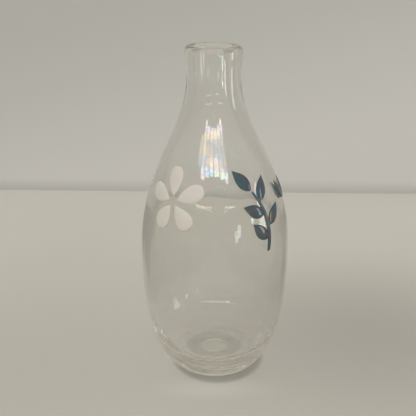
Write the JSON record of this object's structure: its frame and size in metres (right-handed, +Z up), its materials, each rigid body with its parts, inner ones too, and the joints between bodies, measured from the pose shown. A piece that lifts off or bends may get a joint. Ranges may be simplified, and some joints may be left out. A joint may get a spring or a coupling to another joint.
{
  "type": "glass vase",
  "caption": "Blown bottle vase in clear glass: narrow thick-walled neck with rounded lip, sloping shoulder, full body, heavy base, and a white blossom and dark leafy sprigs of fused glass.",
  "frame": {"origin": "middle of the foot, on the surface the vase stands on", "axes": "+Z up along the vase's axis, -Y towards the viewer, +X to the viewer's right"},
  "size_m": [0.108, 0.108, 0.24],
  "materials": {
    "clear_glass": "clear blown glass with a faint iridescent lustre",
    "white_glass": "opal white glass, glossy",
    "dark_glass": "dark slate-teal glass with an iridescent lustre, glossy"
  },
  "bodies": {
    "root": {"vase_body": "clear_glass", "blossom_petal_1": "white_glass", "blossom_petal_2": "white_glass", "blossom_petal_3": "white_glass", "blossom_petal_4": "white_glass", "blossom_petal_5": "white_glass", "sprig_stem": "dark_glass", "sprig_leaf_1": "dark_glass", "sprig_leaf_2": "dark_glass", "sprig_leaf_3": "dark_glass", "sprig_leaf_4": "dark_glass", "sprig_leaf_5": "dark_glass", "pair_leaf_1": "dark_glass", "pair_leaf_2": "dark_glass"}
  },
  "joints": []
}
